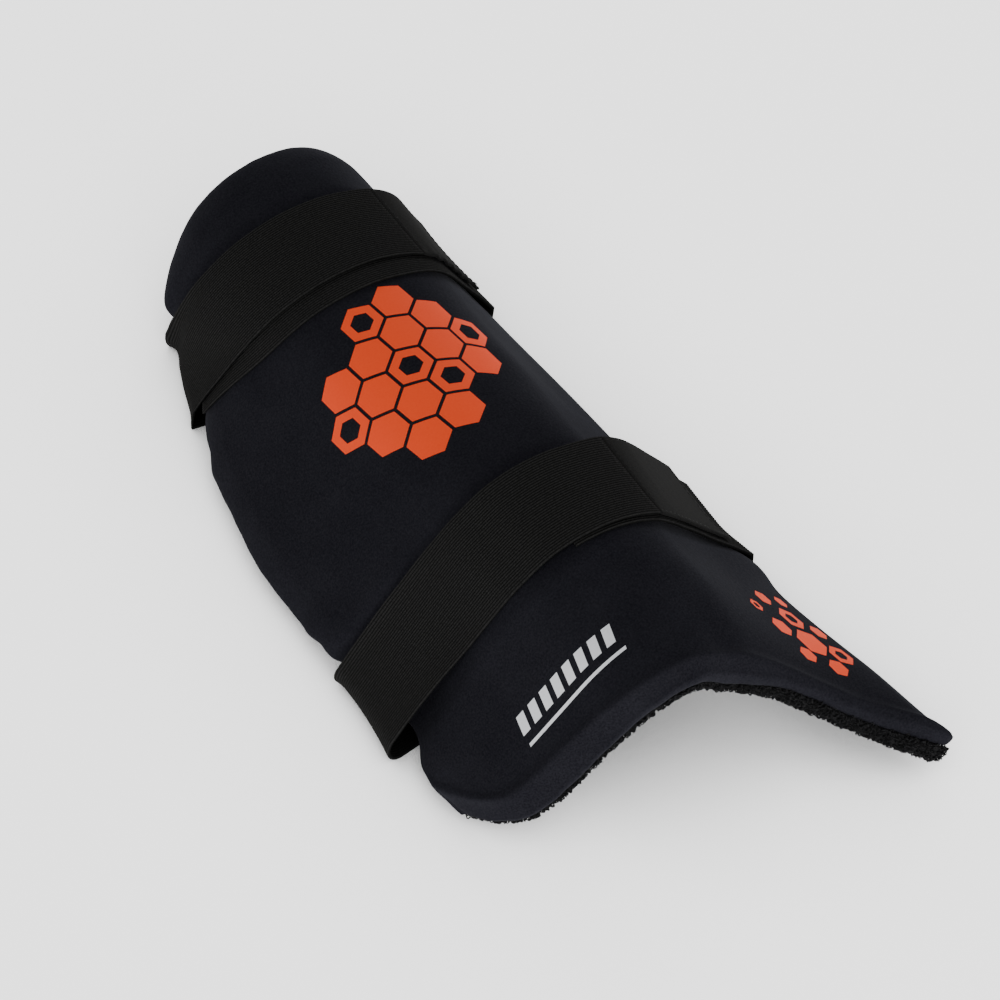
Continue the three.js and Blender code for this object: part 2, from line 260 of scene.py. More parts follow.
def meshObject(name, points, faces, uv=None, attributes=None):
    mesh = bpy.data.meshes.new(name)
    mesh.from_pydata((np.asarray(points) * mm).tolist(), [], faces)
    if uv is not None:
        layer = mesh.uv_layers.new(name="clothUv")
        corners = np.zeros(len(mesh.loops), np.int32)
        mesh.loops.foreach_get("vertex_index", corners)
        layer.data.foreach_set("uv", (np.asarray(uv)[corners] / uvSize).astype(np.float32).ravel())
    for key, values in (attributes or {}).items():
        mesh.attributes.new(key, "FLOAT", "POINT").data.foreach_set("value", np.asarray(values, np.float32))
    mesh.update()
    work = bmesh.new()
    work.from_mesh(mesh)
    bmesh.ops.remove_doubles(work, verts=work.verts, dist=1e-6)
    if work.calc_volume(signed=True) < 0:
        bmesh.ops.reverse_faces(work, faces=work.faces)
    work.to_mesh(mesh)
    work.free()
    mesh.shade_smooth()
    return addObject(name, mesh)


def gridFaces(rows, columns, start=0, turned=False):
    index = start + np.arange(rows * columns).reshape(rows, columns)
    a, b, c, d = index[:-1, :-1], index[1:, :-1], index[1:, 1:], index[:-1, 1:]
    quads = np.stack([a, d, c, b] if turned else [a, b, c, d], -1)
    return quads.reshape(-1, 4).tolist()


def newMaterial(name):
    material = bpy.data.materials.new(name)
    material.use_nodes = True
    tree = material.node_tree
    tree.nodes.clear()
    out = tree.nodes.new("ShaderNodeOutputMaterial")
    shader = tree.nodes.new("ShaderNodeBsdfPrincipled")
    tree.links.new(shader.outputs[0], out.inputs[0])
    return material, tree, shader


def addNode(tree, kind, links=None, **settings):
    node = tree.nodes.new(kind)
    for key, value in settings.items():
        if key in node.inputs:
            node.inputs[key].default_value = value
        else:
            setattr(node, key, value)
    for key, source in (links or {}).items():
        tree.links.new(source, node.inputs[key])
    return node


def setInputs(node, values):
    for key, value in values.items():
        node.inputs[key].default_value = value


def maths(tree, operation, *values):  # of sockets and plain numbers
    node = addNode(tree, "ShaderNodeMath", operation=operation)
    for place, value in zip(node.inputs, values):
        if isinstance(value, bpy.types.NodeSocket):
            tree.links.new(value, place)
        else:
            place.default_value = value
    return node.outputs[0]


def noise(tree, place, scale, detail):
    return addNode(tree, "ShaderNodeTexNoise", {"Vector": place}, Scale=scale, Detail=detail).outputs[0]


def twoTones(tree, shader, factor, colors):
    ramp = addNode(tree, "ShaderNodeValToRGB", {"Fac": factor})
    places = colors.get("tones", (0.3, 0.7))
    for element, place, color in zip(ramp.color_ramp.elements, places, (colors["dark"], colors["light"])):
        element.position, element.color = place, (*color, 1)
    tree.links.new(ramp.outputs["Color"], shader.inputs["Base Color"])


def addBump(tree, shader, height, strength, depth):
    bump = addNode(tree, "ShaderNodeBump", {"Height": height}, Strength=strength, Distance=depth * mm)
    tree.links.new(bump.outputs[0], shader.inputs["Normal"])


def nodeTree(name, inputs):
    tree = bpy.data.node_groups.new(name, "GeometryNodeTree")
    tree.interface.new_socket(name="Geometry", in_out="INPUT", socket_type="NodeSocketGeometry")
    for label, (kind, value) in inputs.items():
        socket = tree.interface.new_socket(name=label, in_out="INPUT", socket_type="NodeSocket" + kind)
        if value is not None:
            socket.default_value = value
    tree.interface.new_socket(name="Geometry", in_out="OUTPUT", socket_type="NodeSocketGeometry")
    return tree, tree.nodes.new("NodeGroupInput"), tree.nodes.new("NodeGroupOutput")


def paintAndEnd(tree, end, shape, material):
    real = addNode(tree, "GeometryNodeRealizeInstances", {0: shape})
    painted = addNode(tree, "GeometryNodeSetMaterial", {0: real.outputs[0]}, Material=material)
    tree.links.new(painted.outputs[0], end.inputs[0])


def runTree(piece, tree, **values):  # sets the inputs by identifier, then keeps the plain mesh
    modifier = piece.modifiers.new("maker", "NODES")
    modifier.node_group = tree
    for socket in tree.interface.items_tree:
        if socket.in_out == "INPUT" and socket.name in values:
            modifier[socket.identifier] = values[socket.name]
    depsgraph = bpy.context.evaluated_depsgraph_get()
    made = bpy.data.meshes.new_from_object(piece.evaluated_get(depsgraph), preserve_all_data_layers=True,
                                           depsgraph=depsgraph)
    piece.modifiers.clear()
    piece.data = made
    return piece


def dress(piece, nodeName=None):
    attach(piece, "root")
    if nodeName:
        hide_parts(nodeName)
    return piece


# walls of the arch: a face with rolled rims, closed by a plain back
wallSettings = {
    "border": (0, 0.7, 1.5, 2.4, 3.4, 4.5, 5.6, 6.7, 7.8, 8.9, 10, 11.1, 12.2, 13.3, 14.4, 15.6, 17, 18.7),
    "step": 2.1, "rim": 6, "rightFrom": 0.25, "rightOver": 0.35,  # where the right wing's inset begins
    "kneeFade": 5, "rimFade": 3,  # reach of the marks for the loops
}


def spread(length):
    border = np.array(wallSettings["border"])
    count = int(round((length - 2 * border[-1]) / wallSettings["step"]))
    body = np.linspace(border[-1], length - border[-1], count + 1)[1:-1]
    return np.concatenate([border, body, length - border[::-1]])


def wallMesh(name, faceDepth, backDepth, bulge, finish, inset):
    turn = np.linspace(1, 0, wallSettings["rim"], endpoint=False)
    s = spread(2 * (flank - inset["side"])) / flank - 1 + inset["side"] / flank
    rows = spread(padForm["topLength"]) / padForm["topLength"]  # shares, remapped at each column
    border = np.array(wallSettings["border"])
    edges, middle = len(border), rows[len(border):-len(border)]
    share = (middle - rows[edges - 1]) / (rows[-edges] - rows[edges - 1])
    rightWing = ease((s - wallSettings["rightFrom"]) / wallSettings["rightOver"])
    kneeInset = inset["knee"] + (inset["rightKnee"] - inset["knee"]) * rightWing
    low, high = (lowerEnd(s) + kneeInset)[:, None], upperEnd(s)[:, None] - inset["top"]
    body = low + border[-1] + share[None, :] * (high - low - 2 * border[-1])
    y = np.concatenate([low + border[None, :], body, high - border[None, ::-1]], 1)
    backS, backY = np.repeat(s[:, None], y.shape[1], 1), y
    # rims: extra columns and rows that roll from the face to the back
    pad = len(turn)
    sTurn = np.concatenate([turn, np.zeros(len(s)), turn[::-1]])
    yTurn = np.concatenate([turn, np.zeros(y.shape[1]), turn[::-1]])
    sSide = np.concatenate([-np.ones(pad), np.zeros(len(s)), np.ones(pad)])
    ySide = np.concatenate([-np.ones(pad), np.zeros(y.shape[1]), np.ones(pad)])
    faceS = np.pad(backS, ((pad, pad), (pad, pad)), "edge")
    faceY = np.pad(backY, ((pad, pad), (pad, pad)), "edge")
    roll = np.maximum(sTurn[:, None], yTurn[None, :])
    rolled = (1 - np.cos(np.pi * roll)) / 2
    depth = faceDepth(faceS, faceY)
    depth = depth + (backDepth - wrapUp(faceS, faceY) - depth) * rolled
    out = bulge(faceS, faceY)
    sOut = (sSide * np.sin(np.pi * sTurn))[:, None] * np.cos(np.pi / 2 * yTurn)[None, :] * out
    yOut = (ySide * np.sin(np.pi * yTurn))[None, :] * np.cos(np.pi / 2 * sTurn)[:, None] * out
    depth = depth - finish(faceS, faceY) * (1 - rolled)
    face = archPoint(faceS + sOut / flank, faceY + yOut, depth) + edgeMove(faceS, faceY)
    back = archPoint(backS, backY, backDepth - wrapUp(backS, backY)) + edgeMove(backS, backY)
    points = np.concatenate([face.reshape(-1, 3), back.reshape(-1, 3)])
    turnRun = roll * (backDepth - faceDepth(faceS, faceY))  # the cloth goes on round the rims
    faceUv = np.stack([faceS * flank + sSide[:, None] * turnRun, faceY + ySide[None, :] * turnRun], -1)
    backUv = np.stack([backS * flank, backY], -1)
    uv = np.concatenate([faceUv.reshape(-1, 2), backUv.reshape(-1, 2)])
    faces = gridFaces(*faceS.shape) + gridFaces(*backS.shape, start=faceS.size, turned=True)
    kneeNear = np.exp(-np.maximum(faceY - lowerEnd(faceS), 0) / wallSettings["kneeFade"])
    topNear = np.exp(-np.maximum(upperEnd(faceS) - faceY, 0) / wallSettings["rimFade"])
    sideNear = np.exp(-(1 - np.abs(faceS)) * flank / wallSettings["rimFade"])
    marks = {"knee": kneeNear, "rim": np.maximum(topNear, sideNear), "face": np.ones(faceS.shape)}
    nothing = np.zeros(backS.size)
    marks = {key: np.concatenate([values.ravel(), nothing]) for key, values in marks.items()}
    return meshObject(name, points, faces, uv, marks)


# cover: moulded foam in its stretch knit
cover = {
    "inset": {"knee": 0.5, "rightKnee": 2.4, "side": 1.2, "top": 1},
    "rollOut": 1.6, "pucker": 0.25, "puckerSize": 16, "puckerSeed": 5,  # rolled edge and its small waves
    "press": 1.0, "swell": 0.5, "swellAt": 1.1, "swellWidth": 0.5, "shoulder": 7,  # at a strap, beside it
    "lumps": 0.35, "lumpSize": 70, "lumpSeed": 3, "lumpsFrom": 20, "crest": 1.6, "crestWidth": 3.2,
    "dent": 4, "dentAt": 80, "dentSpread": 20, "dentFrom": 0.5, "dentOver": 0.4,  # left, below the strap
    "dark": (0.0078, 0.0077, 0.0105), "light": (0.0180, 0.0179, 0.0225), "tones": (0.32, 0.68),
    "clouds": 40.0, "specks": 1100.0, "cloudShare": 0.25, "knitPitch": 0.9, "knitDepth": 0.05,
    "look": {"Roughness": 0.8, "Specular IOR Level": 0.0, "Sheen Weight": 0.05, "Sheen Roughness": 0.4,
             "Sheen Tint": (0.9, 0.92, 1, 1)},
}


def strapSpan(strap, s):  # lower and upper edge of a strap on the arch
    low = strap["low"] + driftAt(strap, s)
    return low, low + strapForm["width"]


def driftAt(strap, along):
    slope = (strap["rightDrift"] - strap["leftDrift"]) / 2
    bend = (strap["rightDrift"] + strap["leftDrift"]) / 2
    return slope * along + bend * along * along


def coverShape(s, y):  # outward moves of the cover's face
    total = cover["lumps"] * ripple(s * flank, y, cover["lumpSize"], cover["lumpSeed"])
    for strap in straps.values():
        low, high = strapSpan(strap, s)
        inside = np.minimum(y - low, high - y) / cover["shoulder"]
        held = 1 - ease((s - strap["standFrom"]) / strapForm["standOver"])
        total = total - cover["press"] * held * ease(inside)
        beside = np.exp(-(inside + cover["swellAt"]) ** 2 / cover["swellWidth"])
        total = total + cover["swell"] * held * beside
    edge = np.minimum(np.minimum(y - lowerEnd(s), upperEnd(s) - y), (1 - np.abs(s)) * flank)
    kneeWidth = np.interp(s, padForm["kneeBevelAt"], padForm["kneeBevelWidth"])
    crest = cover["crest"] * bell(kneeGap(s, y), kneeWidth, cover["crestWidth"])
    leftward = ease((-s - cover["dentFrom"]) / cover["dentOver"])
    dent = bell(y, cover["dentAt"], cover["dentSpread"]) * leftward
    return total * ease(edge / cover["lumpsFrom"]) + crest - cover["dent"] * dent


def coverBulge(s, y):
    waves = ripple(s * flank, y, cover["puckerSize"], cover["puckerSeed"])
    return cover["rollOut"] + cover["pucker"] * waves


def coverFinish():
    material, tree, shader = newMaterial("stretchCover")
    uv = addNode(tree, "ShaderNodeUVMap", uv_map="clothUv").outputs[0]
    place = addNode(tree, "ShaderNodeTexCoord").outputs["Object"]
    clouds, specks = noise(tree, place, cover["clouds"], 4.0), noise(tree, place, cover["specks"], 3.0)
    blend = addNode(tree, "ShaderNodeMix", {2: specks, 3: clouds}, data_type="FLOAT",
                    Factor=cover["cloudShare"])
    twoTones(tree, shader, blend.outputs[0], cover)
    setInputs(shader, cover["look"])
    knitBump(tree, shader, uv, cover["knitPitch"], cover["knitDepth"])
    return material


knit = {"columns": 100, "rows": 60, "grain": 180.0, "strength": 0.5}  # counts at a pitch of 1


def knitBump(tree, shader, uv, pitch, depth):  # interlocked columns of small loops
    scale = (knit["columns"] / pitch, knit["rows"] / pitch, 1)
    scaled = addNode(tree, "ShaderNodeMapping", {"Vector": uv}, Scale=scale)
    parts = addNode(tree, "ShaderNodeSeparateXYZ", {"Vector": scaled.outputs[0]})
    columns = maths(tree, "SINE", parts.outputs[0])
    loops = maths(tree, "SINE", maths(tree, "ADD", columns, parts.outputs[1]))
    height = maths(tree, "MULTIPLY", columns, loops)
    both = maths(tree, "ADD", height, noise(tree, uv, knit["grain"], 2.0))
    addBump(tree, shader, both, knit["strength"], depth)


padCover = wallMesh("pad_cover", bevelDrop, padForm["shell"], coverBulge, coverShape, cover["inset"])
padCover.data.materials.append(coverFinish())
dress(padCover, "pad_shell")
print("cover:", len(padCover.data.polygons), "faces")

# towelling: looped lining under the cover, its edge showing all round
towel = {
    "inset": {"knee": 0.9, "rightKnee": 1.4, "side": 1.8, "top": 3}, "faceIn": 0.7, "shortBy": 20,
    "lumps": 0.45, "lumpSize": 3.2, "lumpSeed": 8, "wideShare": 0.6, "wideSize": 9, "wideSeed": 9,
    "rollOut": 1.4, "waves": 0.6, "waveSize": 7, "waveSeed": 12,
    "tipBulge": 1, "tipFrom": 0.75, "tipOver": 0.2, "tipReach": 25,
    "dark": (0.0056, 0.0056, 0.0059), "light": (0.0190, 0.0190, 0.0199),
    "fuzz": 700.0, "bump": 0.8, "bumpDepth": 0.4,
    "look": {"Roughness": 0.95, "Specular IOR Level": 0.02, "Sheen Weight": 0.02, "Sheen Roughness": 0.6},
    "loopWidth": 1.3, "loopHeight": 1.2, "thread": 0.3, "seed": 4,
    "piles": (("knee", "knee", 1.1), ("rim", "rim", 0.3), ("inside", "face", 0.07)),  # mark, loops per mm2
}


def towelFace(s, y):
    return np.full(np.shape(s), padForm["wall"] - towel["faceIn"])


def towelShape(s, y):
    u = s * flank
    wide = towel["wideShare"] * ripple(u, y, towel["wideSize"], towel["wideSeed"])
    return -towel["lumps"] * (ripple(u, y, towel["lumpSize"], towel["lumpSeed"]) + wide)


def towelBulge(s, y):
    tip = ease((s - towel["tipFrom"]) / towel["tipOver"]) * ease(-y / towel["tipReach"])
    waves = ripple(s * flank, y, towel["waveSize"], towel["waveSeed"])
    return towel["rollOut"] + towel["tipBulge"] * tip + towel["waves"] * waves


def towelFinish():
    material, tree, shader = newMaterial("towelLoops")
    place = addNode(tree, "ShaderNodeTexCoord").outputs["Object"]
    fuzz = noise(tree, place, towel["fuzz"], 3.0)
    twoTones(tree, shader, fuzz, towel)
    setInputs(shader, towel["look"])
    addBump(tree, shader, fuzz, towel["bump"], towel["bumpDepth"])
    return material


def loopShape():  # one thread loop standing on its two feet
    turns = np.linspace(0, np.pi, 6)
    wide, high = towel["loopWidth"] / 2, towel["loopHeight"]
    centre = np.stack([-np.cos(turns) * wide, 0 * turns, np.sin(turns) * high], -1)
    points = []
    for angle, middle in zip(turns, centre):
        for k in range(3):
            around = k * 2 * np.pi / 3
            out, rise = np.cos(around), np.sin(around)
            outward = np.array([-np.cos(angle) * out, rise, np.sin(angle) * out])
            points.append(middle + outward * towel["thread"])
    faces = [[i * 3 + k, i * 3 + (k + 1) % 3, i * 3 + 3 + (k + 1) % 3, i * 3 + 3 + k]
             for i in range(5) for k in range(3)]
    faces += [[2, 1, 0], [15, 16, 17]]
    return meshObject("loop_seed", points, faces)


def loopTree(material, loop):
    tree, start, end = nodeTree("towelLoops", {
        "Density": ("Float", 1.0), "Mark": ("String", "knee"), "Seed": ("Int", 0),
        "Smallest": ("Float", 0.7), "Largest": ("Float", 1.3), "Tilt": ("Float", 0.7)})
    given = start.outputs
    mark = addNode(tree, "GeometryNodeInputNamedAttribute", {"Name": given["Mark"]}, data_type="FLOAT")
    dense = maths(tree, "MULTIPLY", mark.outputs[0], given["Density"])
    scatter = addNode(tree, "GeometryNodeDistributePointsOnFaces",
                      {"Mesh": given[0], "Density": dense, "Seed": given["Seed"]})
    back = maths(tree, "MULTIPLY", given["Tilt"], -1)
    low = addNode(tree, "ShaderNodeCombineXYZ", {"X": back, "Y": back}, Z=-fullTurn / 2)
    high = addNode(tree, "ShaderNodeCombineXYZ", {"X": given["Tilt"], "Y": given["Tilt"]}, Z=fullTurn / 2)
    swing = addNode(tree, "FunctionNodeRandomValue", {0: low.outputs[0], 1: high.outputs[0]},
                    data_type="FLOAT_VECTOR")
    turned = addNode(tree, "FunctionNodeRotateRotation",
                     {0: scatter.outputs["Rotation"], 1: swing.outputs[0]}, rotation_space="LOCAL")
    size = addNode(tree, "FunctionNodeRandomValue", {2: given["Smallest"], 3: given["Largest"]})
    shape = addNode(tree, "GeometryNodeObjectInfo", Object=loop)
    placed = addNode(tree, "GeometryNodeInstanceOnPoints", {
        "Points": scatter.outputs[0], "Instance": shape.outputs["Geometry"],
        "Rotation": turned.outputs[0], "Scale": size.outputs[1]})
    paintAndEnd(tree, end, placed.outputs[0], material)
    return tree


towelMaterial = towelFinish()
lining = wallMesh("towel_lining", towelFace, padForm["lining"], towelBulge, towelShape, towel["inset"])
lining.data.materials.append(towelMaterial)
loopSeed = loopShape()
loopMaker = loopTree(towelMaterial, loopSeed)
for k, (label, mark, density) in enumerate(towel["piles"]):
    pile = addObject("towel_pile_" + label, lining.data.copy())
    runTree(pile, loopMaker, Density=density * 1e6, Mark=mark, Seed=towel["seed"] + k)
    dress(pile)
    print("towelling", label, len(pile.data.polygons), "faces")
bpy.data.objects.remove(loopSeed)
dress(lining, "terry_lining")

# elastics: ribbed bands that go round the pad, and the smooth hook tabs sewn to them
elastic = {
    "ribs": 38, "ribHeight": 0.3, "acrossEach": 4, "frontStep": 2.4, "foldSteps": 16, "floorStep": 9,
    "dark": (0.0062, 0.0062, 0.0061), "light": (0.0255, 0.0252, 0.0247), "tones": (0.05, 0.6),
    "curl": 0.35, "curlPower": 6, "curlWaves": (0.6, 0.4), "curlLength": 40, "curlSeed": 21,  # selvedges
    "roundness": 60, "innerShade": 0.25,  # the side towards the pad is painted darker: painted shade
    "pick": 1.1, "grain": 90.0, "bump": 0.6, "bumpDepth": 0.06,
    "look": {"Roughness": 0.85, "Specular IOR Level": 0.0, "Sheen Weight": 0.006, "Sheen Roughness": 0.5},
}


def strapHeight(strap, s, y, layer):
    clear = strap["standOff"] * ease((s - strap["standFrom"]) / strapForm["standOver"])
    across = (y - strapSpan(strap, s)[0]) / strapForm["width"]
    tilt = strapForm["humpTilt"][0] + strapForm["humpTilt"][1] * np.clip(across, 0, 1)
    clear = tilt * (clear + strap["hump"] * bell(s, strap["humpAt"], strapForm["humpSpread"]))
    nearEdge = np.clip(1 - across / strapForm["edgeWidth"], 0, 1)
    leftward = ease((-s - strapForm["edgeFrom"]) / strapForm["edgeOver"])
    clear = clear + strap["edgeLift"] * nearEdge * nearEdge * leftward
    climb = layer * ease((s - strap["underEnd"] + strapForm["stepAhead"]) / strapForm["stepRun"] + 1)
    base = strapForm["gap"] + strapForm["thick"] / 2 + clear
    return base + climb * (strapForm["thick"] + strapForm["layerGap"])


def frontStation(strap, s, y, layer):
    height = strapHeight(strap, s, y, layer)
    middle = archPoint(s, y, -height)
    return middle, archPoint(s, y, -height - 1) - middle


def foldStation(strap, side, y, turn):
    s = edgeAt(side, y)
    height, radius, flankAngle, arc, length = halfSection(y, s < 0)
    reach = radius + strapHeight(strap, s, y, 1 if side < 0 else 0)
    down = np.abs(s) * length - arc
    rimX = reach * np.sin(flankAngle) + down * np.cos(flankAngle)
    rimZ = height - radius + reach * np.cos(flankAngle) - down * np.sin(flankAngle)
    bend = (rimZ - strapForm["thick"] / 2) / (1 + np.cos(flankAngle))
    angle = np.pi / 2 - flankAngle - turn * (np.pi - flankAngle)
    across = (y - strapSpan(strap, np.asarray(float(side)))[0]) / strapForm["width"]
    first, middle, last = strap["foldReach"][0 if side < 0 else 1]
    bow = 4 * across * (1 - across)
    reachOut = first + (last - first) * across + (middle - (first + last) / 2) * bow
    x = rimX + np.clip(reachOut, strapForm["leastFold"], bend) * (np.cos(angle) - np.sin(flankAngle))
    z = strapForm["thick"] / 2 + bend * (1 + np.sin(angle))
    outward = np.stack([side * np.cos(angle), 0 * angle, np.sin(angle)], -1)
    return settle(s, y, x, z, 0), outward


def floorStation(strap, y, share):
    left, right = foldStation(strap, -1, y, 1)[0], foldStation(strap, 1, y, 1)[0]
    return left + (right - left) * share, np.broadcast_to([0.0, 0.0, -1.0], left.shape)


def frontRun(start, end):
    count = max(2, round(abs(end - start) * flank / elastic["frontStep"]))
    return np.linspace(start, end, count + 1)


def runToEdge(strap, start, side, layer):
    return [(s, lambda y, share=(s - start) / (side - start): frontStation(
        strap, start + (edgeAt(side, y) - start) * share, y, layer)) for s in frontRun(start, side)]


def foldUnder(strap, side):
    turns = np.linspace(0, 1, elastic["foldSteps"] + 1)[1:]
    return [(side, lambda y, turn=turn: foldStation(strap, side, y, turn)) for turn in turns]


def bandMesh(name, strap, stations, shift, across, pucker=None):
    width, thick = strapForm["width"], strapForm["thick"]
    v = np.linspace(0, 1, across + 1)
    rounding = (1 - np.abs(2 * v - 1) ** elastic["roundness"]) ** 0.5  # rounded selvedges
    steady, wavy = elastic["curlWaves"]
    tops, bottoms, runs, run, last = [], [], [], 0, None
    for along, place in stations:
        y = strap["low"] + driftAt(strap, along) + shift(along) + v * width
        middle, outward = place(y)
        outward = outward / np.linalg.norm(outward, axis=-1, keepdims=True)
        here = middle[across // 2]
        run = run + (0 if last is None else float(np.linalg.norm(here - last)))
        last = here
        waves = steady + wavy * ripple(run, 0 * v, elastic["curlLength"], elastic["curlSeed"])
        lift = elastic["curl"] * np.abs(2 * v - 1) ** elastic["curlPower"] * waves
        if pucker:
            lift = lift + pucker(along, run, v)
        middle = middle + outward * lift[:, None]
        tops.append(middle + outward * (rounding * thick / 2)[:, None])
        bottoms.append(middle - outward * (rounding * thick / 2)[:, None])
        runs.append(np.full(across + 1, run))
    shape = (len(stations), across + 1)
    points = np.concatenate([np.reshape(tops, (-1, 3)), np.reshape(bottoms, (-1, 3))])
    size = shape[0] * shape[1]
    faces = gridFaces(*shape) + gridFaces(*shape, start=size, turned=True)
    for row in (0, shape[0] - 1):  # cut ends
        for k in range(across):
            a = row * shape[1] + k
            quad = [a, a + 1, a + 1 + size, a + size]
            faces.append(quad if row == 0 else quad[::-1])
    crossing = np.tile(v, 2 * shape[0])
    uv = np.stack([crossing * width, np.tile(np.ravel(runs), 2)], -1)
    inner = np.concatenate([np.zeros(size), np.ones(size)])
    return meshObject(name, points, faces, uv, {"across": crossing, "inner": inner}), run


def ribTree(material):  # raises rounded ribs along the band
    tree, start, end = nodeTree("elasticRibs", {
        "Ribs": ("Float", float(elastic["ribs"])), "Height": ("Float", elastic["ribHeight"] * mm)})
    across = addNode(tree, "GeometryNodeInputNamedAttribute", data_type="FLOAT", Name="across")
    turn = maths(tree, "MULTIPLY", across.outputs[0], start.outputs["Ribs"])
    crest = maths(tree, "ABSOLUTE", maths(tree, "SINE", maths(tree, "MULTIPLY", turn, math.pi)))
    raised = maths(tree, "MULTIPLY", maths(tree, "SUBTRACT", crest, 0.5), start.outputs["Height"])
    normal = addNode(tree, "GeometryNodeInputNormal")
    move = addNode(tree, "ShaderNodeVectorMath", {0: normal.outputs[0], "Scale": raised}, operation="SCALE")
    moved = addNode(tree, "GeometryNodeSetPosition",
                    {"Geometry": start.outputs[0], "Offset": move.outputs[0]})
    paintAndEnd(tree, end, moved.outputs[0], material)
    return tree


def elasticFinish():
    material, tree, shader = newMaterial("ribbedElastic")
    uv = addNode(tree, "ShaderNodeUVMap", uv_map="clothUv").outputs[0]
    parts = addNode(tree, "ShaderNodeSeparateXYZ", {"Vector": uv})
    pickTurn = uvSize * math.tau / elastic["pick"]
    ribTurn = math.pi * elastic["ribs"] * uvSize / strapForm["width"]
    weft = maths(tree, "SINE", maths(tree, "MULTIPLY", parts.outputs[1], pickTurn))
    grain = noise(tree, uv, elastic["grain"], 4.0)
    # grooves between the ribs are painted darker and the crests lighter: painted shade and highlight; the
    # grain noise mixed in is the band's own random tone
    ribShadeWave = maths(tree, "SINE", maths(tree, "MULTIPLY", parts.outputs[0], ribTurn))
    # the band's side towards the pad is painted at a quarter of its tone: painted shade, since that side
    # lies in shadow
    inner = addNode(tree, "ShaderNodeAttribute", attribute_name="inner")
    innerShading = addNode(tree, "ShaderNodeMapRange", {"Value": inner.outputs["Fac"]})
    setInputs(innerShading, {"To Min": 1, "To Max": elastic["innerShade"]})
    mixed = maths(tree, "MULTIPLY", maths(tree, "ABSOLUTE", ribShadeWave), grain)
    toned = maths(tree, "MULTIPLY", mixed, innerShading.outputs[0])
    twoTones(tree, shader, toned, elastic)
    setInputs(shader, elastic["look"])
    addBump(tree, shader, maths(tree, "ADD", weft, grain), elastic["bump"], elastic["bumpDepth"])
    return material


hookTab = {
    "dark": (0.0090, 0.0089, 0.0087), "light": (0.0155, 0.0153, 0.0149), "grain": 110.0, "across": 60,
    "look": {"Roughness": 0.65, "Specular IOR Level": 0.0, "Sheen Weight": 0.03, "Sheen Roughness": 0.45},
    "knitPitch": 0.8, "knitDepth": 0.05,
    "pucker": 0.5, "puckerLength": 7.5, "puckerReach": 0.12, "puckerFrom": 0.36, "puckerOver": 0.08,
    "seamGap": 0.06, "inset": 2.4, "rowMargin": 3, "crossSteps": 20,
    "stitchLength": 2.6, "stitchPitch": 3.4, "threadThick": 0.38,
}


def tabFinish():
    material, tree, shader = newMaterial("hookTape")
    uv = addNode(tree, "ShaderNodeUVMap", uv_map="clothUv").outputs[0]
    twoTones(tree, shader, noise(tree, uv, hookTab["grain"], 4.0), hookTab)
    setInputs(shader, hookTab["look"])
    knitBump(tree, shader, uv, hookTab["knitPitch"], hookTab["knitDepth"])
    return material


def puckerOf(name):  # only the upper tab's knee side is puckered
    def pucker(along, run, v):
        wave = 1 + np.sin(run * fullTurn / hookTab["puckerLength"])
        beyond = ease((along - hookTab["puckerFrom"]) / hookTab["puckerOver"])
        return hookTab["pucker"] * np.exp(-v / hookTab["puckerReach"]) * wave * beyond
    return pucker if name == "upper" else None


def unmoved(along):
    return 0


elasticMaterial, tabMaterial = elasticFinish(), tabFinish()
ribMaker = ribTree(elasticMaterial)
bandAcross = elastic["ribs"] * elastic["acrossEach"]
floorCount = round(strapForm["floorLength"] / elastic["floorStep"])
floorShares = np.linspace(0, 1, floorCount + 1)[1:] * (1 - strapForm["butt"] / flank)
for name, strap in straps.items():
    floorRun = [(2 * share - 1, lambda y, share=share, strap=strap: floorStation(strap, y, share))
                for share in floorShares]
    longStations = runToEdge(strap, strap["seam"], -1, 1) + foldUnder(strap, -1) + floorRun
    underStations = runToEdge(strap, strap["underEnd"], 1, 0) + foldUnder(strap, 1)
    tabStart = strap["seam"] + hookTab["seamGap"] / flank
    tabStations = [(s, lambda y, s=s, strap=strap: frontStation(strap, s, y, 1))
                   for s in frontRun(tabStart, strap["tabEnd"])]

    def lowered(along, strap=strap):
        grown = ease((along - strap["underEnd"]) / (1 - abs(strap["underEnd"]) / 2))
        drop = strap["underStart"] + (strap["underDrop"] - strap["underStart"]) * grown
        rise = ease((along - strapForm["underRiseFrom"]) / (1 - strapForm["underRiseFrom"]))
        return strap["underRise"] * rise - drop

    for kind, stations, shift in (("strap", longStations, unmoved), ("underband", underStations, lowered)):
        band, bandLength = bandMesh(name + "_elastic_" + kind, strap, stations, shift, bandAcross)
        runTree(band, ribMaker, Ribs=float(elastic["ribs"]), Height=elastic["ribHeight"] * mm)
        dress(band, name + "_" + kind)
        print(band.name, round(bandLength), "mm,", len(band.data.polygons), "faces")
    tab, tabLength = bandMesh(name + "_hook_tab", strap, tabStations, unmoved, hookTab["across"],
                              puckerOf(name))
    tab.data.materials.append(tabMaterial)
    dress(tab, name + "_tab")

# stitches: rows of thread round each tab
thread = {
    "dark": (0.009, 0.009, 0.009), "light": (0.022, 0.022, 0.022), "twist": 900.0,
    "look": {"Roughness": 0.6, "Specular IOR Level": 0.05},
}


def stitchShape():
    rings = [(-0.5, 0.25), (-0.34, 0.85), (0, 1), (0.34, 0.85), (0.5, 0.25)]
    length, thick = hookTab["stitchLength"], hookTab["threadThick"] / 2
    points = [(x * length, r * thick * math.cos(a), r * thick * math.sin(a))
              for x, r in rings for a in np.arange(5) * 2 * math.pi / 5]
    faces = [[i * 5 + k, i * 5 + (k + 1) % 5, i * 5 + 5 + (k + 1) % 5, i * 5 + 5 + k]
             for i in range(4) for k in range(5)]
    faces += [[4, 3, 2, 1, 0], [20, 21, 22, 23, 24]]
    return meshObject("stitch_seed", points, faces)


